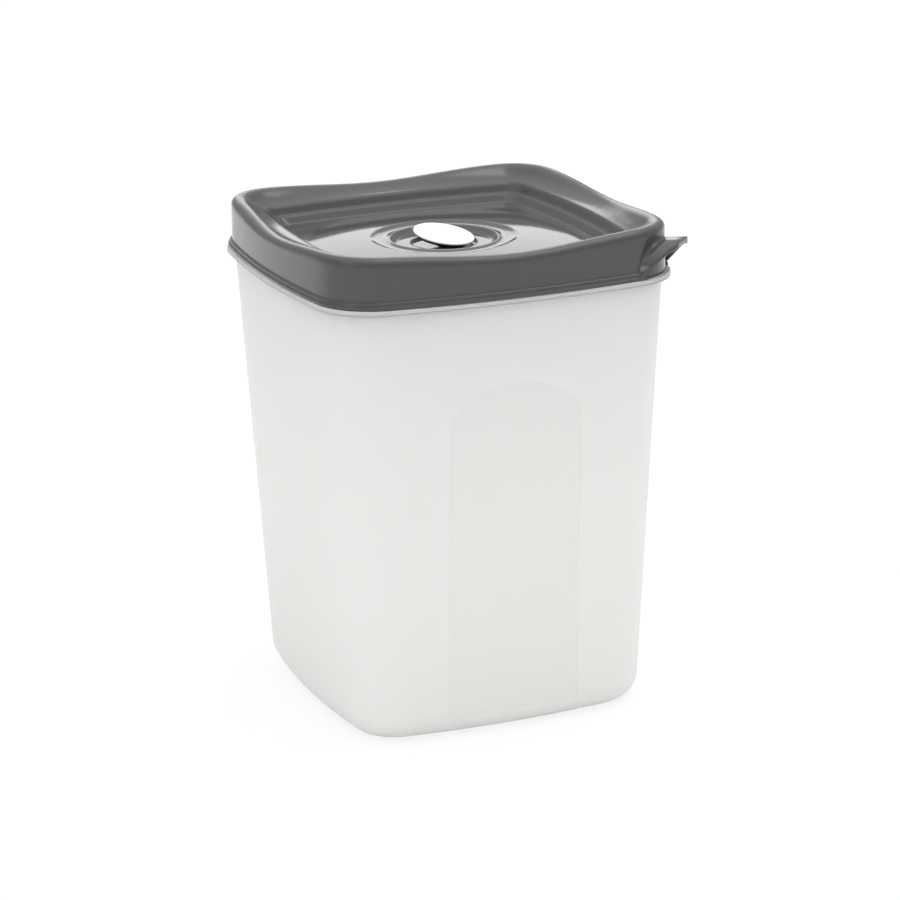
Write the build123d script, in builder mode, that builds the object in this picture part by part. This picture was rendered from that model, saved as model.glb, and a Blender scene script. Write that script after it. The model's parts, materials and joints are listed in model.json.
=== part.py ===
from build123d import *
from math import atan2, cos, radians, sin, sqrt, tan
import os

os.makedirs("parts", exist_ok=True)

# Vacuum seal canister: a tall, square, frosted tub with bulging sides and a pressed-on lid whose
# rim rises to its four corners.
# All sizes are in millimetres. The tub stands on the ground plane, centred on the Z axis, and its
# front, with the arched window, faces -Y. The lid's pull tab is at the corner between +X and -Y.
# A "half" is half the width across the middle of two opposite sides.

# Tub
rim_height = 189.7            # ground to the underside of the rim flange
foot_half = 69.7              # the outside of the wall, carried down to the ground plane
foot_corner = 22.2            # rounding of the upright corners at the ground
foot_bow = 350                # the sides bulge: radius of a side seen from above
foot_rounding = 11.2          # rounding between the walls and the bottom
neck_root_half = 79.15        # the outside of the wall just under the rim
neck_root_corner = 25.0
wall_bow = 403
tub_wall = 2.2
tub_floor = 2.4
punt_half = 51.0              # shallow recess under the bottom, so that the tub stands on a ring
punt_corner = 14.0
punt_depth = 1.6
punt_draft = 30

# Rim of the tub
flange_reach = 2.85           # how far the flange stands out from the wall under it
flange_half = neck_root_half + flange_reach
flange_corner = 26.6
flange_thickness = 2.3
flange_rounding = 0.6
rim_bow = 468
neck_setback = 0.95           # the upright neck that the lid closes over is a little narrower
neck_half = neck_root_half - neck_setback
neck_wall = 1.5
neck_height = 10.0            # above the top of the flange
neck_rounding = 0.5

# Arched window: a slightly sunk, polished field on the front wall
window_half = 29.7
window_bottom = 9.0           # above the ground
window_spring = 142.0         # where the arch starts
window_rise = 13.6
window_depth = 0.35

# Lid: lip and skirt
skirt_wall = 1.8
skirt_gap = 0.5               # between the neck and the inside of the skirt
skirt_half = neck_half + skirt_gap + skirt_wall
skirt_corner = 25.6
skirt_draft = 1.2             # degrees
lid_bow = 415
lip_low_height = 1.4
lip_low_reach = 1.5           # how far the lower step of the lip stands out from the skirt
lip_high_height = 1.5
lip_high_reach = 0.8

# Lid: crest of the rim, level over each corner and dipping in the middle of each side
crest_height = 21.0           # above the top of the flange, at the corners
crest_dip = 3.5               # how much lower it is in the middle of a side
crest_outer_rounding = 2.6
crest_inner_rounding = 3.6
crest_inner_inset = 4.15      # from the skirt's foot inward to the middle of the inner rounding
rounding_steps = 4            # rings that the surface of a rounding passes through
ring_points = 72              # points of a ring

# Lid: slope inside the rim, from the inner rounding down to the first ledge
slope_start = 45              # degrees that the inner rounding turns before the slope begins
slope_inset = 10.4            # one ring half way down
slope_height = 16.7
slope_corner = 13.5
slope_dip_share = 0.45        # how much of the crest's dip is left there
ledge_inset = 14.7
ledge_corner = 8.0

# Lid: two terraces and the crowned panel
terrace_top_insets = (15.5, 19.3)             # from the skirt's half to the upper edge of each riser
terrace_foot_insets = (17.6, 22.0)            # and to its foot
terrace_levels = (14.6, 10.5, 7.2)            # above the top of the flange, ledge to ledge
terrace_corners = (7.6, 6.2)
dome_rise = 2.2               # how much the panel would rise from its edge to the middle
panel_thickness = 2.0
deck_wall = 2.2

# Lid: plug wall that reaches into the neck, and the channel over the neck
plug_gap = 3.4                # between the plug wall and the inside of the neck
plug_half = neck_half - neck_wall - plug_gap
plug_corner = 20.0
plug_wall = 1.8
plug_reach = 1.2              # below the top of the flange
groove_flange_reach = 2.0     # the two ridges that hold the gasket
groove_flange_thickness = 1.2
groove_bottom = 2.4           # top of the lower ridge, above the top of the flange
groove_width = 3.4
channel_height = 14.0         # ceiling of the channel above the top of the flange

# Gasket
gasket_clearance = 0.06
gasket_neck_gap = 0.3
gasket_body = 1.7
gasket_lip = 1.2              # thickness of the lip that reaches the neck

# Dish around the valve: a shallow trough, a low ridge, and a bowl with a recess under the flap
dish_radius = 31.8
trough_radius = 27.4
trough_drop = 1.0             # below the panel
ridge_radius = 23.2
ridge_drop = 0.4
bowl_radius = 20.4
bowl_drop = 2.6
bowl_bend_radius = 21.2       # the bowl's wall bends into its floor
bowl_bend_share = 0.8
recess_radius = 14.2
recess_depth = 1.0
well_floor = 2.0
seat_boss_radius = 9.6
seat_boss_thickness = 1.6

# Valve: a tilted flap, hinged at its low side on an insert that carries the vent
valve_azimuth = -50           # direction of the low side, seen from above
valve_tilt = 11
cap_radius = 13.2
cap_thickness = 0.8
cap_rise = 1.1                # centre of the cap's top above the panel
cap_rounding = 0.25
pad_radius = 11.6
pad_thickness = 1.4
pad_gap = 0.3
insert_radius = 7.3
insert_offset = 5.7           # the insert's centre, towards the low side
insert_clearance = 0.15
insert_pocket = 2.2           # how deep the insert sits in the floor of the recess
stud_radius = 4.4
stud_clearance = 0.1
stud_groove = 0.5
stud_end = 1.4
vent_radius = 1.5
hinge_reach = 11.6            # along the cap from its centre
hinge_drop = 3.4              # below the cap's top
trunnion_radius = 0.5
trunnion_clearance = 0.06
trunnion_length = 1.3
lug_radius = 1.0
lug_width = 4.0
lug_side_gap = 0.3
ring_radius = 7.6
ring_thickness = 1.6

# Pull tab: a hood over the lid's right front corner, its sizes outward from the skirt's corner
tab_half_width = 15.8
tab_height = 14.2             # top of the hood above the flange, at its root
tab_pitch = 5                 # degrees that the hood rises outward
tab_corner = 14.0
tab_thickness = 2.4
tab_root_reach = -6.4
tab_foot_reach = -3.0
tab_shoulder_reach = 5.0
tab_shoulder_height = 9.8
tab_tip_reach = 10.2
tab_tip_bottom = 11.6
tab_tip_height = 19.0         # above every point of the arch
tab_nose_radius = 15.8        # the tip is round, seen from above

# One overrun for every cut that has to come out of the material
over = 2.0

# Heights and halves worked out from the sizes above
seat = rim_height + flange_thickness
ledge = seat + terrace_levels[0]
panel_edge = seat + terrace_levels[-1]
panel_half = skirt_half - terrace_foot_insets[-1]
dish_top = panel_edge + dome_rise * (1 - (dish_radius / panel_half) ** 2)
bowl_floor = dish_top - bowl_drop
recess_floor = bowl_floor - recess_depth
boss_bottom = recess_floor - well_floor - seat_boss_thickness
pocket_floor = recess_floor - insert_pocket
cap_top = dish_top + cap_rise
neck_inside = neck_half - neck_wall


def bowed(half, corner, bow, mode=Mode.ADD):
    """Square with four sides bulging to an arc of the radius bow, and rounded corners."""
    spread = bow - half
    tip = (sqrt(2 * bow**2 - spread**2) - spread) / 2
    with BuildSketch(Plane.XY, mode=Mode.PRIVATE) as outline:
        with BuildLine():
            ThreePointArc((-tip, -tip), (0, -half), (tip, -tip))
            ThreePointArc((tip, -tip), (half, 0), (tip, tip))
            ThreePointArc((tip, tip), (0, half), (-tip, tip))
            ThreePointArc((-tip, tip), (-half, 0), (-tip, -tip))
        make_face()
        fillet(outline.vertices(), corner)
    add(outline.sketch, mode=mode)


def reach_of(angle, half, corner, bow):
    """Distance from the Z axis to the outline of a bowed square, in a direction seen from above."""
    spread = bow - half
    centre = (sqrt(2 * (bow - corner) ** 2 - spread**2) - spread) / 2
    share = bow / (bow - corner)
    join = atan2(share * centre, share * (centre + spread) - spread)
    quarter = radians(90)
    turn = abs((angle + quarter / 2) % quarter - quarter / 2)
    if turn < join:
        return sqrt(bow**2 - (spread * sin(turn)) ** 2) - spread * cos(turn)
    across = centre * (cos(turn) - sin(turn))
    return centre * (cos(turn) + sin(turn)) + sqrt(corner**2 - across**2)


def ring(inset, corner, height, dip_share):
    """Closed curve around the lid that dips in the middle of each side by a share of the crest's dip."""
    points = []
    for step in range(ring_points):
        angle = radians(360 * step / ring_points)
        reach = reach_of(angle, skirt_half - inset, corner, lid_bow - inset)
        dip = dip_share * crest_dip * (1 + cos(4 * angle)) / 2
        points.append((reach * cos(angle), reach * sin(angle), seat + height - dip))
    knots = [step / ring_points for step in range(ring_points + 1)]
    return Wire([Edge.make_spline(points, periodic=True, parameters=knots)])


def lid_outline(inset, mode=Mode.ADD):
    """The skirt's outline at its foot, moved inward by an even distance."""
    bowed(skirt_half - inset, skirt_corner - inset, lid_bow - inset, mode)


def lip_outline(reach):
    """One step of the lip around the skirt, left open under the pull tab."""
    lid_outline(-reach)
    lid_outline(skirt_wall / 2, Mode.SUBTRACT)
    with Locations(Location((tab_root / sqrt(2), -tab_root / sqrt(2)), -45)):
        Rectangle(
            tab_tip - tab_root,
            2 * (tab_half_width - tab_thickness),
            align=(Align.MIN, Align.CENTER),
            mode=Mode.SUBTRACT,
        )


def plug_outline(half, mode=Mode.ADD):
    """The plug wall's outline, at another half."""
    bowed(half, plug_corner + half - plug_half, lid_bow + half - plug_half, mode)


# Core of the tub: the space inside, taken out of the tub in one cut
floor_share = tub_floor / rim_height
with BuildPart() as core:
    with BuildSketch(Plane.XY.offset(tub_floor)):
        inside = foot_half + (neck_root_half - foot_half) * floor_share - tub_wall
        bowed(inside, foot_corner - tub_wall, foot_bow)
    with BuildSketch(Plane.XY.offset(rim_height)):
        bowed(neck_inside, neck_root_corner - (neck_root_half - neck_inside), wall_bow)
    loft()
    fillet(core.faces().sort_by(Axis.Z)[0].edges(), foot_rounding - tub_wall)
    with BuildSketch(Plane.XY.offset(rim_height)):
        bowed(neck_inside, neck_root_corner - (neck_root_half - neck_inside), wall_bow)
    extrude(amount=flange_thickness + neck_height + over)

# Inner skin of the window: what is left of the front wall once the window is sunk into it
with BuildPart() as window_skin:
    with BuildSketch(Plane.XY):
        bowed(foot_half - window_depth, foot_corner - window_depth, foot_bow)
    with BuildSketch(Plane.XY.offset(rim_height)):
        bowed(neck_root_half - window_depth, neck_root_corner - window_depth, wall_bow)
    loft()

with BuildPart() as window_field:
    with BuildSketch(Plane.XZ.offset(neck_root_half / 2)):
        with BuildLine():
            Line((-window_half, window_bottom), (window_half, window_bottom))
            Line((window_half, window_bottom), (window_half, window_spring))
            ThreePointArc(
                (window_half, window_spring), (0, window_spring + window_rise), (-window_half, window_spring)
            )
            Line((-window_half, window_spring), (-window_half, window_bottom))
        make_face()
    extrude(amount=neck_root_half)
    add(window_skin.part, mode=Mode.SUBTRACT)

# Tub: drafted walls, rounded foot, rim flange and neck
with BuildPart() as tub:
    with BuildSketch(Plane.XY):
        bowed(foot_half, foot_corner, foot_bow)
    with BuildSketch(Plane.XY.offset(rim_height)):
        bowed(neck_root_half, neck_root_corner, wall_bow)
    loft()
    fillet(tub.faces().sort_by(Axis.Z)[0].edges(), foot_rounding)
    with BuildSketch(Plane.XY.offset(rim_height)):
        bowed(flange_half, flange_corner, rim_bow)
    extrude(amount=flange_thickness)
    fillet(tub.edges().group_by(Axis.Z)[-1], flange_rounding)
    with BuildSketch(Plane.XY.offset(seat)):
        bowed(neck_half, neck_root_corner - (neck_root_half - neck_half), wall_bow)
    extrude(amount=neck_height)
    fillet(tub.edges().group_by(Axis.Z)[-1], neck_rounding)
    add(core.part, mode=Mode.SUBTRACT)
    with BuildSketch(Plane.XY.offset(tub_floor)):
        bowed(punt_half + tub_wall, punt_corner + tub_wall, foot_bow)
    extrude(amount=punt_depth, taper=punt_draft)
    with BuildSketch(Plane.XY):
        bowed(punt_half, punt_corner, foot_bow)
    extrude(amount=punt_depth, taper=punt_draft, mode=Mode.SUBTRACT)
    add(window_field.part, mode=Mode.SUBTRACT)
tub.part.label = "tub"
export_step(tub.part, "parts/tub.step")

# Frames of the valve: the low side's direction, the tilted disc, and the hinge under its low side
low = radians(valve_azimuth)
tilt = radians(valve_tilt)
insert_spot = (insert_offset * cos(low), insert_offset * sin(low))
ring_bottom = boss_bottom - ring_thickness
hinge_out = hinge_reach * cos(tilt) - hinge_drop * sin(tilt)
hinge_level = cap_top - hinge_reach * sin(tilt) - hinge_drop * cos(tilt)
normal = (cos(low) * sin(tilt), sin(low) * sin(tilt), cos(tilt))
cap_plane = Plane(
    origin=(0, 0, cap_top),
    x_dir=(cos(low) * cos(tilt), sin(low) * cos(tilt), -sin(tilt)),
    z_dir=normal,
)
upright_plane = Plane(origin=(0, 0, 0), x_dir=(cos(low), sin(low), 0), z_dir=(0, 0, 1))
hinge_plane = Plane(
    origin=(hinge_out * cos(low), hinge_out * sin(low), hinge_level),
    x_dir=(-cos(low) * cos(tilt), -sin(low) * cos(tilt), sin(tilt)),
    z_dir=(-sin(low), cos(low), 0),
)

# Room under the ledges, so that the terraces have an even thickness
with BuildPart() as ledge_pocket:
    with BuildSketch(Plane.XY.offset(panel_edge - panel_thickness)):
        plug_outline(plug_half - plug_wall)
    extrude(amount=ledge - deck_wall - panel_edge + panel_thickness)
    with BuildSketch(Plane.XY.offset(panel_edge - panel_thickness)):
        bowed(panel_half + deck_wall, terrace_corners[-1], lid_bow)
    with BuildSketch(Plane.XY.offset(ledge - deck_wall)):
        bowed(skirt_half - terrace_top_insets[0] + deck_wall, terrace_corners[0], lid_bow)
    loft(mode=Mode.SUBTRACT)

# Pull tab: an arch along the lid's diagonal, cut by a side outline and by a round nose
lean = radians(tab_pitch)
corner_reach = reach_of(radians(45), skirt_half, skirt_corner, lid_bow)
tab_root = corner_reach + tab_root_reach
tab_foot = (corner_reach + tab_foot_reach, lip_low_height)
tab_shoulder = (corner_reach + tab_shoulder_reach, tab_shoulder_height)
tab_tip = corner_reach + tab_tip_reach
along = Plane(
    origin=(tab_root / sqrt(2), -tab_root / sqrt(2), seat),
    x_dir=(1, 1, 0),
    z_dir=(cos(lean), -cos(lean), sqrt(2) * sin(lean)),
)
beside = Plane(origin=(0, 0, seat), x_dir=(1, -1, 0), z_dir=(-1, -1, 0))
above = Plane(origin=(0, 0, seat), x_dir=(1, -1, 0), z_dir=(0, 0, 1))
with BuildPart() as hood:
    with BuildSketch(along) as arch:
        Rectangle(2 * tab_half_width, 2 * tab_height)
        fillet(arch.vertices(), tab_corner)
        offset(amount=-tab_thickness, mode=Mode.SUBTRACT)
    extrude(amount=tab_tip - tab_root)
    with BuildSketch(beside):
        with BuildLine():
            Line((tab_root, lip_low_height), tab_foot)
            Line(tab_foot, tab_shoulder)
            TangentArc(
                tab_shoulder,
                (tab_tip, tab_tip_bottom),
                tangent=(tab_shoulder[0] - tab_foot[0], tab_shoulder[1] - tab_foot[1]),
            )
            Line((tab_tip, tab_tip_bottom), (tab_tip, tab_tip_height))
            Line((tab_tip, tab_tip_height), (tab_root, tab_tip_height))
            Line((tab_root, tab_tip_height), (tab_root, lip_low_height))
        make_face()
    extrude(amount=2 * tab_half_width, both=True, mode=Mode.INTERSECT)
    with BuildSketch(above):
        with Locations((tab_tip - tab_nose_radius, 0)):
            Circle(tab_nose_radius)
        Rectangle(tab_tip - tab_nose_radius, 2 * tab_nose_radius, align=(Align.MIN, Align.CENTER))
    extrude(amount=tab_tip_height, mode=Mode.INTERSECT)
    with BuildSketch(Plane.XY.offset(seat)):
        lid_outline(skirt_wall / 2)
    extrude(amount=crest_height + over, taper=skirt_draft, mode=Mode.SUBTRACT)

# Outside of the lid's rim: skirt, crest and inner slope, each a surface through its rings
draft_share = tan(radians(skirt_draft))
skirt_top = crest_height - crest_outer_rounding
skirt_foot_ring = ring(0, skirt_corner, 0, 0)
outer_rings = []
inner_rings = []
for step in range(rounding_steps + 1):
    turn = radians(90 * step / rounding_steps)
    inset = skirt_top * draft_share + crest_outer_rounding * (1 - cos(turn))
    outer_rings.append(ring(inset, skirt_corner - inset, skirt_top + crest_outer_rounding * sin(turn), 1))
    turn = radians(slope_start * step / rounding_steps)
    inset = crest_inner_inset + crest_inner_rounding * sin(turn)
    level = crest_height - crest_inner_rounding * (1 - cos(turn))
    inner_rings.append(ring(inset, skirt_corner - inset, level, 1))
slope_rings = [
    inner_rings[-1],
    ring(slope_inset, slope_corner, slope_height, slope_dip_share),
    ring(ledge_inset, ledge_corner, terrace_levels[0], 0),
]
rim_faces = [
    Face(skirt_foot_ring),
    *Shell.make_loft([skirt_foot_ring, outer_rings[0]], ruled=True).faces(),
    *Shell.make_loft(outer_rings).faces(),
    *Shell.make_loft([outer_rings[-1], inner_rings[0]], ruled=True).faces(),
    *Shell.make_loft(inner_rings).faces(),
    *Shell.make_loft(slope_rings).faces(),
    Face(slope_rings[-1]),
]
rim = Solid(Shell(rim_faces))

# Lid: the block inside these surfaces, worked from above and below
with BuildPart() as lid:
    add(rim)

    # Two terraces down to the panel
    for step, corner in enumerate(terrace_corners):
        with BuildSketch(Plane.XY.offset(seat + terrace_levels[step + 1])):
            bowed(skirt_half - terrace_foot_insets[step], corner, lid_bow)
        with BuildSketch(Plane.XY.offset(seat + terrace_levels[step])):
            bowed(skirt_half - terrace_top_insets[step], corner, lid_bow)
        loft(mode=Mode.SUBTRACT)

    # Crown of the panel, a shallow dome
    with BuildSketch(Plane.XZ):
        with BuildLine():
            Line((panel_half, panel_edge), (0, panel_edge))
            Line((0, panel_edge), (0, panel_edge + dome_rise))
            TangentArc((0, panel_edge + dome_rise), (panel_half, panel_edge), tangent=(1, 0))
        make_face()
    revolve(axis=Axis.Z)

    # Channel over the neck, the space inside the plug wall and the room under the ledges
    with BuildSketch(Plane.XY.offset(seat)):
        lid_outline(skirt_wall)
        plug_outline(plug_half, Mode.SUBTRACT)
    extrude(amount=channel_height, mode=Mode.SUBTRACT)
    with BuildSketch(Plane.XY.offset(seat)):
        plug_outline(plug_half - plug_wall)
    extrude(amount=panel_edge - panel_thickness - seat, mode=Mode.SUBTRACT)
    add(ledge_pocket.part, mode=Mode.SUBTRACT)

    # Plug wall below the flange's top, and its two ridges
    with BuildSketch(Plane.XY.offset(seat - plug_reach)):
        plug_outline(plug_half)
        plug_outline(plug_half - plug_wall, Mode.SUBTRACT)
    extrude(amount=plug_reach)
    for level in (groove_bottom - groove_flange_thickness, groove_bottom + groove_width):
        with BuildSketch(Plane.XY.offset(seat + level)):
            plug_outline(plug_half + groove_flange_reach)
            plug_outline(plug_half - plug_wall / 2, Mode.SUBTRACT)
        extrude(amount=groove_flange_thickness)

    # Lip in two steps around the foot of the skirt
    with BuildSketch(Plane.XY.offset(seat)):
        lip_outline(lip_low_reach)
    extrude(amount=lip_low_height)
    with BuildSketch(Plane.XY.offset(seat + lip_low_height)):
        lip_outline(lip_high_reach)
    extrude(amount=lip_high_height)

    # Thick floor under the bowl and the recess, and the seat of the insert
    with BuildSketch(Plane.XY.offset(bowl_floor - well_floor)):
        Circle(ridge_radius + well_floor)
    extrude(amount=well_floor)
    with BuildSketch(Plane.XY.offset(recess_floor - well_floor)):
        Circle(recess_radius + well_floor)
    extrude(amount=well_floor)
    with BuildSketch(Plane.XY.offset(boss_bottom)):
        with Locations(insert_spot):
            Circle(seat_boss_radius)
    extrude(amount=recess_floor - boss_bottom)

    # Dish: trough, ridge, bowl and recess, turned about the Z axis
    bend_height = bowl_floor + (dish_top - ridge_drop - bowl_floor) * (1 - bowl_bend_share)
    with BuildSketch(Plane.XZ):
        with BuildLine():
            Line((0, dish_top + over), (dish_radius, dish_top + over))
            Line((dish_radius, dish_top + over), (dish_radius, dish_top))
            ThreePointArc(
                (dish_radius, dish_top),
                (trough_radius, dish_top - trough_drop),
                (ridge_radius, dish_top - ridge_drop),
            )
            ThreePointArc(
                (ridge_radius, dish_top - ridge_drop),
                (bowl_bend_radius, bend_height),
                (bowl_radius, bowl_floor),
            )
            Line((bowl_radius, bowl_floor), (recess_radius, bowl_floor))
            Line((recess_radius, bowl_floor), (recess_radius, recess_floor))
            Line((recess_radius, recess_floor), (0, recess_floor))
            Line((0, recess_floor), (0, dish_top + over))
        make_face()
    revolve(axis=Axis.Z, mode=Mode.SUBTRACT)
    with BuildSketch(Plane.XY.offset(recess_floor)):
        with Locations(insert_spot):
            Circle(insert_radius + insert_clearance)
    extrude(amount=-insert_pocket, mode=Mode.SUBTRACT)
    with BuildSketch(Plane.XY.offset(pocket_floor)):
        with Locations(insert_spot):
            Circle(stud_radius + stud_clearance)
    extrude(amount=boss_bottom - pocket_floor, mode=Mode.SUBTRACT)

    # Pull tab, fused to the skirt and the lip
    add(hood.part)
lid.part.label = "lid"
export_step(lid.part, "parts/lid.step")

# Gasket: a square ring in the groove with a lip towards the neck
with BuildPart() as lid_gasket:
    with BuildSketch(Plane.XY.offset(seat + groove_bottom + gasket_clearance)):
        plug_outline(plug_half + gasket_clearance + gasket_body)
        plug_outline(plug_half + gasket_clearance, Mode.SUBTRACT)
    extrude(amount=groove_width - 2 * gasket_clearance)
    with BuildSketch(Plane.XY.offset(seat + groove_bottom + (groove_width - gasket_lip) / 2)):
        plug_outline(neck_inside - gasket_neck_gap)
        plug_outline(plug_half + gasket_body, Mode.SUBTRACT)
    extrude(amount=gasket_lip)
lid_gasket.part.label = "lid_gasket"
export_step(lid_gasket.part, "parts/lid_gasket.step")

# Valve: insert with the vent, the slot for the lug and the bores for its trunnions
with BuildPart() as valve_insert:
    with BuildSketch(Plane.XY.offset(pocket_floor)):
        with Locations(insert_spot):
            Circle(insert_radius)
    extrude(amount=cap_top - pocket_floor)
    with BuildSketch(cap_plane.offset(-cap_thickness - pad_thickness - pad_gap)):
        Circle(bowl_radius)
    extrude(amount=bowl_radius, mode=Mode.SUBTRACT)
    with BuildSketch(Plane.XY.offset(ring_bottom - stud_end)):
        with Locations(insert_spot):
            Circle(stud_radius)
    extrude(amount=pocket_floor - ring_bottom + stud_end)
    with BuildSketch(Plane.XY.offset(ring_bottom)):
        with Locations(insert_spot):
            Circle(stud_radius)
            Circle(stud_radius - stud_groove, mode=Mode.SUBTRACT)
    extrude(amount=ring_thickness, mode=Mode.SUBTRACT)
    with BuildSketch(Plane.XY.offset(ring_bottom - stud_end)):
        with Locations(insert_spot):
            Circle(vent_radius)
    extrude(amount=cap_top - ring_bottom + stud_end, mode=Mode.SUBTRACT)
    with BuildSketch(upright_plane.offset(pocket_floor)):
        with Locations((hinge_out - lug_radius - lug_side_gap, 0)):
            Rectangle(insert_radius, lug_width + 2 * lug_side_gap, align=(Align.MIN, Align.CENTER))
    extrude(amount=cap_top - pocket_floor, mode=Mode.SUBTRACT)
    with BuildSketch(hinge_plane):
        Circle(trunnion_radius + trunnion_clearance)
    extrude(amount=lug_width / 2 + trunnion_length + trunnion_clearance, both=True, mode=Mode.SUBTRACT)
valve_insert.part.label = "valve_insert"
export_step(valve_insert.part, "parts/valve_insert.step")

# Valve: white disc with the lug and its trunnions under the low side
with BuildPart() as valve_cap:
    with BuildSketch(cap_plane):
        Circle(cap_radius)
    extrude(amount=-cap_thickness)
    fillet(valve_cap.edges().filter_by(GeomType.CIRCLE), cap_rounding)
    with BuildSketch(hinge_plane):
        Circle(lug_radius)
        with Locations((0, 0)):
            Rectangle(2 * lug_radius, hinge_drop - cap_thickness / 2, align=(Align.CENTER, Align.MIN))
    extrude(amount=lug_width / 2, both=True)
    with BuildSketch(hinge_plane):
        Circle(trunnion_radius)
    extrude(amount=lug_width / 2 + trunnion_length, both=True)
valve_cap.part.label = "valve_cap"
export_step(valve_cap.part, "parts/valve_cap.step")

# Valve: dark pad under the disc, notched around the lug
with BuildPart() as valve_pad:
    with BuildSketch(cap_plane.offset(-cap_thickness)):
        Circle(pad_radius)
        with Locations((hinge_reach - lug_radius - lug_side_gap, 0)):
            Rectangle(
                pad_radius, lug_width + 2 * lug_side_gap, align=(Align.MIN, Align.CENTER), mode=Mode.SUBTRACT
            )
    extrude(amount=-pad_thickness)
valve_pad.part.label = "valve_pad"
export_step(valve_pad.part, "parts/valve_pad.step")

# Valve: ring that holds the insert's stud from below
with BuildPart() as valve_ring:
    with BuildSketch(Plane.XY.offset(ring_bottom)):
        with Locations(insert_spot):
            Circle(ring_radius)
            Circle(stud_radius - stud_groove + stud_clearance, mode=Mode.SUBTRACT)
    extrude(amount=ring_thickness)
valve_ring.part.label = "valve_ring"
export_step(valve_ring.part, "parts/valve_ring.step")
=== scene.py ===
# %% [markdown]
# # A frosted storage canister with a flexible grey lid
#
# The real object is a tall square tub, moulded in milky polypropylene, under a flexible grey lid
# that has a small white valve in its middle. Every piece has its true shape in the CAD model, so
# this lesson adds no shapes. It is about finishes: how one moulded wall can be frosted all over and
# polished in an arched window, and how a glossy grey lid gets its form from what it reflects.

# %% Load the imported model
import json
from math import cos, pi, radians, sin

import bpy
from mathutils import Matrix, Vector


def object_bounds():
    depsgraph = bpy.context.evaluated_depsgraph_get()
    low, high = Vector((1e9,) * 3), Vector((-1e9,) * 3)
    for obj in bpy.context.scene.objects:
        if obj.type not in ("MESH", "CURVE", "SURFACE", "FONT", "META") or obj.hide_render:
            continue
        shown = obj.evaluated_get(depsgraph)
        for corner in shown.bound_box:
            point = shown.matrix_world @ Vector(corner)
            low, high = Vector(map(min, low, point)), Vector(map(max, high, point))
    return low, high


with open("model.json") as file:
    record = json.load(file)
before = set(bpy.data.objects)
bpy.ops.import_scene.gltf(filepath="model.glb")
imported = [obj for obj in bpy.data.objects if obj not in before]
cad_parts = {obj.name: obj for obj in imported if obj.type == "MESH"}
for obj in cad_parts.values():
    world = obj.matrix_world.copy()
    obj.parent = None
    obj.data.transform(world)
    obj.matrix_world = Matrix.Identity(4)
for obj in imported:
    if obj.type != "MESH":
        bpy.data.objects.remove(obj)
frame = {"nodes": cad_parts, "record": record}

box_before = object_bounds()
print("box of the model in metres:", [tuple(round(c, 4) for c in corner) for corner in box_before])

# %% [markdown]
# ## Camera
#
# The photograph was taken from the front left, a little above the lid, with a long lens, so that
# the upright edges stay nearly parallel. A camera is a place, three directions and a lens. It could
# be aimed with a constraint, but then its small roll would be lost. Here its three axes are worked
# out from an azimuth, an elevation and a roll, and written as the columns of one matrix.

# %% The camera's three axes
camera_azimuth = radians(-22.035)
camera_elevation = radians(16.984)
camera_roll = radians(-1.074)

backward = Vector(
    (
        sin(camera_azimuth) * cos(camera_elevation),
        -cos(camera_azimuth) * cos(camera_elevation),
        sin(camera_elevation),
    )
)
level_right = Vector((cos(camera_azimuth), sin(camera_azimuth), 0))
level_up = backward.cross(level_right)
right = cos(camera_roll) * level_right + sin(camera_roll) * level_up
up = cos(camera_roll) * level_up - sin(camera_roll) * level_right
print("the camera looks along", [round(c, 3) for c in -backward])

# %% Camera at the photograph's place
camera_place = Vector((-0.4977, -1.2320, 0.5108))
lens_length = 127.48          # millimetres
sensor_width = 36             # millimetres

camera_data = bpy.data.cameras.new("studio camera")
camera_data.sensor_width = sensor_width
camera_data.lens = lens_length
camera = bpy.data.objects.new("studio camera", camera_data)
bpy.context.scene.collection.objects.link(camera)
camera_turn = Matrix((right, up, backward)).transposed().to_4x4()
camera.matrix_world = Matrix.Translation(camera_place) @ camera_turn
bpy.context.scene.camera = camera
print("distance from the camera to the tub's foot in metres:", round(camera_place.length, 3))

# %% [markdown]
# ## Helpers for finishes
#
# Colours are easiest to read off a photograph as sRGB hex values, but a shader works in linear
# light, so one function turns the one into the other. A second one adds a node to a material, sets
# its inputs, and links whatever comes from another node. With these two, a material reads like a
# list of what it is made of.

# %% Colour and node helpers
def srgb(text):
    """Linear RGBA of a hex colour."""
    values = [int(text[i : i + 2], 16) / 255 for i in (1, 3, 5)]
    linear = [v / 12.92 if v <= 0.04045 else ((v + 0.055) / 1.055) ** 2.4 for v in values]
    return (*linear, 1.0)


def add_node(material, kind, settings=None, **inputs):
    """Adds a node. Settings are its properties; inputs are values, or outputs of other nodes.

    An input is named by its label, with _ for a space, or by n and its number.
    """
    tree = material.node_tree
    node = tree.nodes.new(kind)
    for name, value in (settings or {}).items():
        setattr(node, name, value)
    for name, value in inputs.items():
        key = int(name[1:]) if name[0] == "n" and name[1:].isdigit() else name.replace("_", " ")
        if isinstance(value, bpy.types.NodeSocket):
            tree.links.new(value, node.inputs[key])
        else:
            node.inputs[key].default_value = value
    return node


def new_material(name):
    """An empty material with nodes."""
    material = bpy.data.materials.new(name)
    material.use_nodes = True
    material.node_tree.nodes.clear()
    return material


def finish_with(material, shader):
    """Connects a shader's output to the material's surface."""
    add_node(material, "ShaderNodeOutputMaterial", Surface=shader)


print("a middle grey, #808080, is", round(srgb("#808080")[0], 3), "in linear light")

# %% [markdown]
# ## Where on the tub a finish changes
#
# The tub is one moulding, but its skin isn't the same all over. It could be cut into pieces or
# given material slots by face, but the CAD mesh stays as it is here. Instead the shader asks where
# on the piece a point lies. Its Object coordinates are compared with the sizes of the region, and
# the answers are multiplied, which leaves 1 inside and 0 outside.

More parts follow.
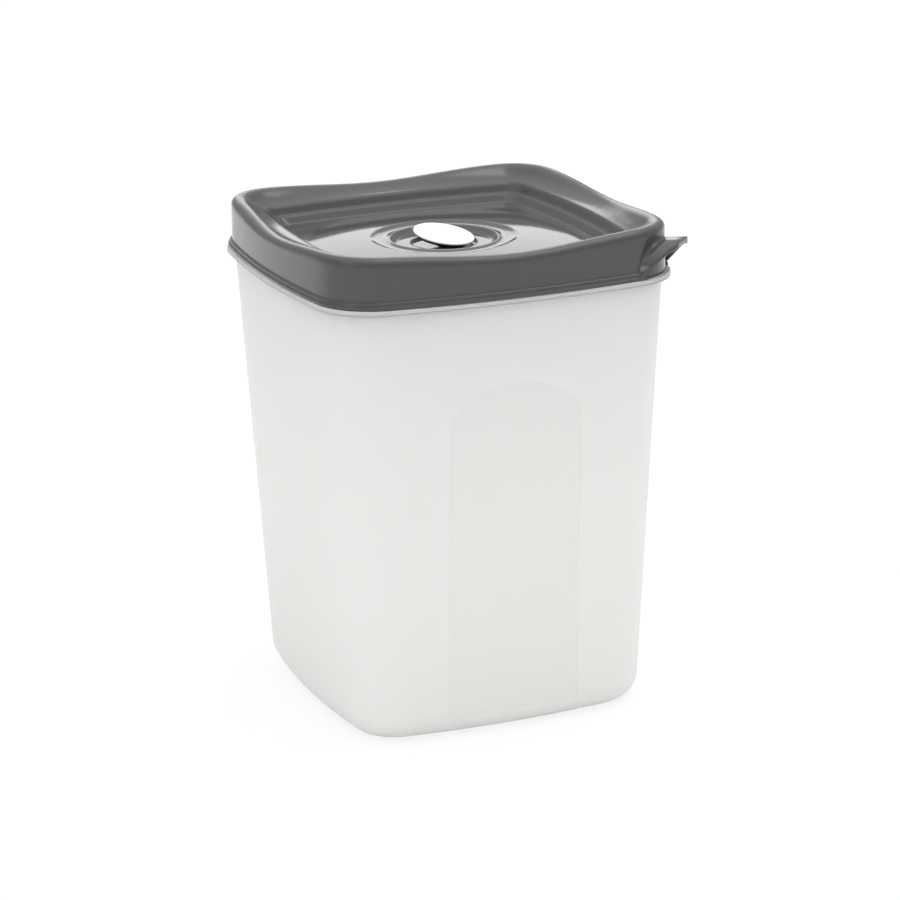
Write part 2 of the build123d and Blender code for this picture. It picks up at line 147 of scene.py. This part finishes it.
# %% Masks from places on a piece
def piece_axes(material):
    """The X, Y and Z of a point on the piece, in metres."""
    place = add_node(material, "ShaderNodeTexCoord").outputs["Object"]
    return add_node(material, "ShaderNodeSeparateXYZ", Vector=place).outputs


def where(material, tests):
    """1 where every test holds and 0 elsewhere. A test is an operation, a value and a limit."""
    mask = 1.0
    for operation, value, limit in tests:
        test = add_node(material, "ShaderNodeMath", {"operation": operation}, n0=value, n1=limit)
        mask = add_node(
            material, "ShaderNodeMath", {"operation": "MULTIPLY"}, n0=mask, n1=test.outputs[0]
        ).outputs[0]
    return mask


# %% [markdown]
# ## The arched window
#
# In the front wall the mould was polished inside a tall arch, so the wall is a little clearer there.
# The arch is two straight sides under a piece of a circle. A point is under the circle when it is
# nearer to the circle's centre than the radius. Below the centre only its distance from the middle
# line counts, so the height is not allowed to be less than zero.

# %% Window mask, its sizes in metres
window_half = 0.0297
window_bottom = 0.0090
window_spring = 0.1420        # where the straight sides meet the arch
window_arch_radius = 0.0392
window_front = -0.0600        # only the wall in front of this is the front wall
window_arch_centre = window_spring - (window_arch_radius**2 - window_half**2) ** 0.5


def window_mask(material):
    """1 inside the arched window on the front wall and 0 elsewhere."""
    axes = piece_axes(material)
    side = add_node(material, "ShaderNodeMath", {"operation": "ABSOLUTE"}, n0=axes["X"]).outputs[0]
    height = add_node(
        material, "ShaderNodeMath", {"operation": "SUBTRACT"}, n0=axes["Z"], n1=window_arch_centre
    ).outputs[0]
    height = add_node(
        material, "ShaderNodeMath", {"operation": "MAXIMUM"}, n0=height, n1=0.0
    ).outputs[0]
    flat = add_node(material, "ShaderNodeCombineXYZ", X=side, Y=height).outputs[0]
    reach = add_node(
        material, "ShaderNodeVectorMath", {"operation": "LENGTH"}, n0=flat
    ).outputs["Value"]
    return where(
        material,
        (
            ("LESS_THAN", side, window_half),
            ("GREATER_THAN", axes["Z"], window_bottom),
            ("LESS_THAN", axes["Y"], window_front),
            ("LESS_THAN", reach, window_arch_radius),
        ),
    )


print("top of the window in metres:", round(window_arch_centre + window_arch_radius, 4))

# %% [markdown]
# ## Painted shade along the flange's lower edge
#
# Under the lid the tub's flange stands out as a thick lip. Its lower edge bends the light away, so
# it reads as a thin grey line all around the tub. Real refraction in such a small edge would need
# many light paths. Instead a narrow level band of painted shade, a flat grey, gives the same line.

# %% Band of painted shade along the flange's lower edge, its heights in metres
flange_edge_low = 0.1896
flange_edge_high = 0.1904


def painted_shade_band_mask(material):
    """1 in the thin level band of painted shade along the flange's lower edge and 0 elsewhere."""
    height = piece_axes(material)["Z"]
    return where(
        material,
        (("GREATER_THAN", height, flange_edge_low), ("LESS_THAN", height, flange_edge_high)),
    )


print("height of the band in millimetres:", round((flange_edge_high - flange_edge_low) * 1000, 2))

# %% [markdown]
# ## Frosted polypropylene
#
# Polypropylene is milky by itself, and the mould's fine spark-eroded texture frosts the outside, so
# light passes through the wall but no picture does. A glass shader with much roughness would do it,
# but it darkens where walls lie behind one another. Here the wall scatters light forward and back,
# which keeps it as even and bright as the real one, and a small clear share, larger in the window,
# lets the inside show a little.

# %% The tub's skin, with the grain of the mould
grain_size = 0.4              # millimetres, drawn coarser than the real grain so that it shows
grain_depth = 0.004           # millimetres
grain_strength = 0.5
frosted_roughness = 0.42      # broad, weak highlights, as on a spark-eroded skin
frosted_ior = 1.49
frosted_gloss = 0.3

frosted = new_material("frosted polypropylene")
place = add_node(frosted, "ShaderNodeTexCoord").outputs["Object"]
grains = add_node(frosted, "ShaderNodeTexNoise", Vector=place, Scale=1000 / grain_size, Detail=1.0)
grain_bump = add_node(
    frosted,
    "ShaderNodeBump",
    Height=grains.outputs[0],
    Strength=grain_strength,
    Distance=grain_depth / 1000,
).outputs[0]
skin = add_node(
    frosted,
    "ShaderNodeBsdfPrincipled",
    Base_Color=srgb("#FDFDFC"),
    Roughness=frosted_roughness,
    IOR=frosted_ior,
    Specular_IOR_Level=frosted_gloss,
    Normal=grain_bump,
).outputs[0]
tub_width = 1000 * (box_before[1][0] - box_before[0][0])
print("grains across the front of the tub:", round(tub_width / grain_size))

# %% Light through the wall and the window, and painted shade on the flange's edge
forward_share = 0.50          # light that the wall scatters forward, to its other side
clear_share = 0.08            # light that passes straight through the frosted wall
window_clear_share = 0.14     # and through the polished window

forward = add_node(frosted, "ShaderNodeBsdfTranslucent", Color=srgb("#FEFEFD")).outputs[0]
wall = add_node(frosted, "ShaderNodeMixShader", n0=forward_share, n1=skin, n2=forward).outputs[0]
clear = add_node(frosted, "ShaderNodeBsdfTransparent", Color=srgb("#FFFFFF")).outputs[0]
clear_here = add_node(
    frosted,
    "ShaderNodeMapRange",
    Value=window_mask(frosted),
    To_Min=clear_share,
    To_Max=window_clear_share,
).outputs[0]
wall = add_node(frosted, "ShaderNodeMixShader", n0=clear_here, n1=wall, n2=clear).outputs[0]
# The flange's edge line is painted shade: a grey shader put where the edge bends the light away
edge = add_node(
    frosted,
    "ShaderNodeBsdfPrincipled",
    Base_Color=srgb("#A8A8A6"),
    Roughness=frosted_roughness,
    IOR=frosted_ior,
    Specular_IOR_Level=frosted_gloss,
).outputs[0]
on_painted_shade = painted_shade_band_mask(frosted)
wall = add_node(frosted, "ShaderNodeMixShader", n0=on_painted_shade, n1=wall, n2=edge).outputs[0]
finish_with(frosted, wall)
print(frosted.name, "has", len(frosted.node_tree.nodes), "nodes")

# %% [markdown]
# ## Plain moulded plastics and rubbers
#
# Plain mouldings need only a colour and a roughness, so one function finishes them all. No moulding
# has a perfectly sharp edge, and the small light along its edges is what makes it look moulded. The
# Bevel node rounds only the shading there, which leaves the CAD mesh as it is.

# %% Finish of a plain moulding
moulded_ior = 1.5
edge_samples = 6


def finish_moulded(material, colour, roughness, edge_rounding):
    """Finishes a plain moulding. Roughness, and rounding in metres, may come from nodes."""
    rounded = add_node(
        material, "ShaderNodeBevel", {"samples": edge_samples}, Radius=edge_rounding
    ).outputs[0]
    shader = add_node(
        material,
        "ShaderNodeBsdfPrincipled",
        Base_Color=srgb(colour),
        Roughness=roughness,
        IOR=moulded_ior,
        Normal=rounded,
    ).outputs[0]
    finish_with(material, shader)


# %% [markdown]
# ## The glossy lid
#
# The lid is a soft polyethylene, moulded against polished steel. Its grey is the same everywhere,
# and all its light and dark comes from what it mirrors, so the colour is plain. The panel mirrors
# sharply, and the rim above the ledges is softer. One material does both: its roughness changes
# with height, and so does the rounding of its edges, which softens the ledges a little and spreads
# the light along the whole rim.

# %% Glossy polyethylene, softer on the rim
panel_roughness = 0.07
rim_roughness = 0.17
ledge_rounding = 1.6          # millimetres
rim_rounding = 4.0            # millimetres
rim_start = 0.2035            # metres up, where the change from ledges to rim begins
rim_full = 0.2090             # and where it ends


def from_ledges_to_rim(material, below, above):
    """A value that changes with height, from the lid's ledges to its rim."""
    return add_node(
        material,
        "ShaderNodeMapRange",
        Value=piece_axes(material)["Z"],
        From_Min=rim_start,
        From_Max=rim_full,
        To_Min=below,
        To_Max=above,
    ).outputs[0]


# A waxy dark grey with a nearly mirror-like skin
lid_plastic = new_material("glossy moulded polyethylene")
lid_roughness = from_ledges_to_rim(lid_plastic, panel_roughness, rim_roughness)
lid_rounding = from_ledges_to_rim(lid_plastic, ledge_rounding / 1000, rim_rounding / 1000)
finish_moulded(lid_plastic, "#444444", lid_roughness, lid_rounding)
print(lid_plastic.name, "has", len(lid_plastic.node_tree.nodes), "nodes")

# %% [markdown]
# ## The seal and the valve
#
# The seal is a pale silicone. The valve's disc is a hard white plastic, and under it the insert and
# its ring are black, with a black silicone pad that closes the vent. They are small, so each is a
# plain moulding with its own colour and roughness.

# %% Small mouldings
small_rounding = 0.2 / 1000   # metres

small_mouldings = {
    # Silicone scatters light, so the seal has a soft sheen and no clear highlight
    "gasket_silicone": ("moulded pale silicone", "#C4C4C2", 0.45),
    # A hard black plastic with a fine satin grain, dark under the disc
    "valve_black": ("satin black ABS", "#141414", 0.35),
    # A hard white plastic, smooth enough to catch the light from above
    "valve_white": ("smooth white ABS", "#F4F4F4", 0.3),
    # The pad is black too, but rubber is duller than the plastic beside it
    "valve_silicone": ("moulded black silicone", "#161616", 0.5),
}
finishes = {"frosted_plastic": frosted, "lid_plastic": lid_plastic}
for slot, (name, colour, roughness) in small_mouldings.items():
    finishes[slot] = new_material(name)
    finish_moulded(finishes[slot], colour, roughness, small_rounding)
print("finishes:", [material.name for material in finishes.values()])

# %% [markdown]
# ## Dressing the pieces
#
# The record of the model says which slot each piece belongs to. The pieces keep their meshes and
# places, and only get the finish of their slot.

# %% Give each piece its finish
for entry in frame["record"]["subparts"]:
    node = frame["nodes"][entry["node"]]
    node.data.materials.clear()
    node.data.materials.append(finishes[entry["material_slot"]])
    print(entry["node"], "takes", finishes[entry["material_slot"]].name)

# %% [markdown]
# ## Floor
#
# The photograph was cut out on white, so the floor only has to carry a faint shadow. A large pale
# plane does that. For the camera most of it shines white by itself, which is the cut-out, and the
# rest keeps the shadow. Reflections see only the pale paint.

# %% Pale floor, its sizes in metres
floor_size = 12.0
floor_drop = 0.0002           # keeps the floor just clear of the tub's foot

half = floor_size / 2
floor_corners = [(-half, -half, 0), (half, -half, 0), (half, half, 0), (-half, half, 0)]
floor_mesh = bpy.data.meshes.new("floor")
floor_mesh.from_pydata(floor_corners, [], [(0, 1, 2, 3)])
floor = bpy.data.objects.new("floor", floor_mesh)
bpy.context.scene.collection.objects.link(floor)
floor.location.z = -floor_drop
print("the floor is", floor_size, "metres across")

# %% Floor paint, nearly pure white for the camera
floor_white_share = 0.8

# Matt studio paint, which keeps a soft shadow and shows no highlight
pale = new_material("matt studio paint")
seen_by_camera = add_node(pale, "ShaderNodeLightPath").outputs["Is Camera Ray"]
white_here = add_node(
    pale, "ShaderNodeMath", {"operation": "MULTIPLY"}, n0=seen_by_camera, n1=floor_white_share
).outputs[0]
paint = add_node(
    pale, "ShaderNodeBsdfPrincipled", Base_Color=srgb("#F7F7F7"), Roughness=0.9
).outputs[0]
white = add_node(pale, "ShaderNodeEmission", Color=srgb("#FFFFFF"), Strength=1.0).outputs[0]
floor_mix = add_node(pale, "ShaderNodeMixShader", n0=white_here, n1=paint, n2=white).outputs[0]
finish_with(pale, floor_mix)
floor_mesh.materials.append(pale)
print("share of white that the camera sees in the floor:", floor_white_share)

# %% [markdown]
# ## World
#
# The world is plain white for the camera. For everything else it is a soft studio: dim at the
# horizon, so that the lid's upright sides mirror a dark grey, and bright overhead, so that the tub
# stays pale. The square of the height gives a smooth change with no line in it.

# %% White world, brighter overhead than at the horizon
horizon_level = 0.48
zenith_level = 1.90

world = bpy.data.worlds.new("white studio")
bpy.context.scene.world = world
world.use_nodes = True
world.node_tree.nodes.clear()
direction = add_node(world, "ShaderNodeTexCoord").outputs["Generated"]
height = add_node(world, "ShaderNodeSeparateXYZ", Vector=direction).outputs["Z"]
height_squared = add_node(
    world, "ShaderNodeMath", {"operation": "MULTIPLY"}, n0=height, n1=height
).outputs[0]
level = add_node(
    world, "ShaderNodeMapRange", Value=height_squared, To_Min=horizon_level, To_Max=zenith_level
).outputs[0]
surround = add_node(
    world, "ShaderNodeBackground", Color=srgb("#FFFFFF"), Strength=level
).outputs[0]
backdrop = add_node(
    world, "ShaderNodeBackground", Color=srgb("#FFFFFF"), Strength=1.0
).outputs[0]
seen_by_camera = add_node(world, "ShaderNodeLightPath").outputs["Is Camera Ray"]
world_mix = add_node(
    world, "ShaderNodeMixShader", n0=seen_by_camera, n1=surround, n2=backdrop
).outputs[0]
add_node(world, "ShaderNodeOutputWorld", Surface=world_mix)
bpy.context.scene.view_settings.view_transform = "Standard"
print("light from the horizon and from overhead:", horizon_level, zenith_level)

# %% [markdown]
# ## Lamps
#
# A glossy grey lid has no form without something to mirror. A wide soft box stands low behind the
# canister, where the panel mirrors it for the camera. One overhead gives the light along the rim,
# and a small one at the left brightens the left side. Their light on the pale tub is weak, so it
# stays even.

# %% Soft boxes, their places and sizes in metres and their power in watts
aim = Vector((0, 0, 0.15))


def soft_lamp(name, place, size, power):
    """A soft box, its size given as width and height, aimed at the middle of the object."""
    data = bpy.data.lights.new(name, "AREA")
    data.shape = "RECTANGLE"
    data.size, data.size_y = size
    data.energy = power
    lamp = bpy.data.objects.new(name, data)
    bpy.context.scene.collection.objects.link(lamp)
    lamp.location = place
    lamp.rotation_mode = "QUATERNION"
    lamp.rotation_quaternion = (Vector(place) - aim).to_track_quat("Z", "Y")
    lamp.visible_camera = False
    print(name, "has a brightness of", round(power / (pi * size[0] * size[1]), 2))


soft_lamp("top soft box", place=(0.50, -0.10, 1.50), size=(0.50, 0.90), power=3.6)
soft_lamp("back soft box", place=(0.72, 2.20, 0.73), size=(0.82, 0.62), power=2.4)
soft_lamp("left soft box", place=(-1.30, -0.50, 0.80), size=(0.40, 0.40), power=1.2)
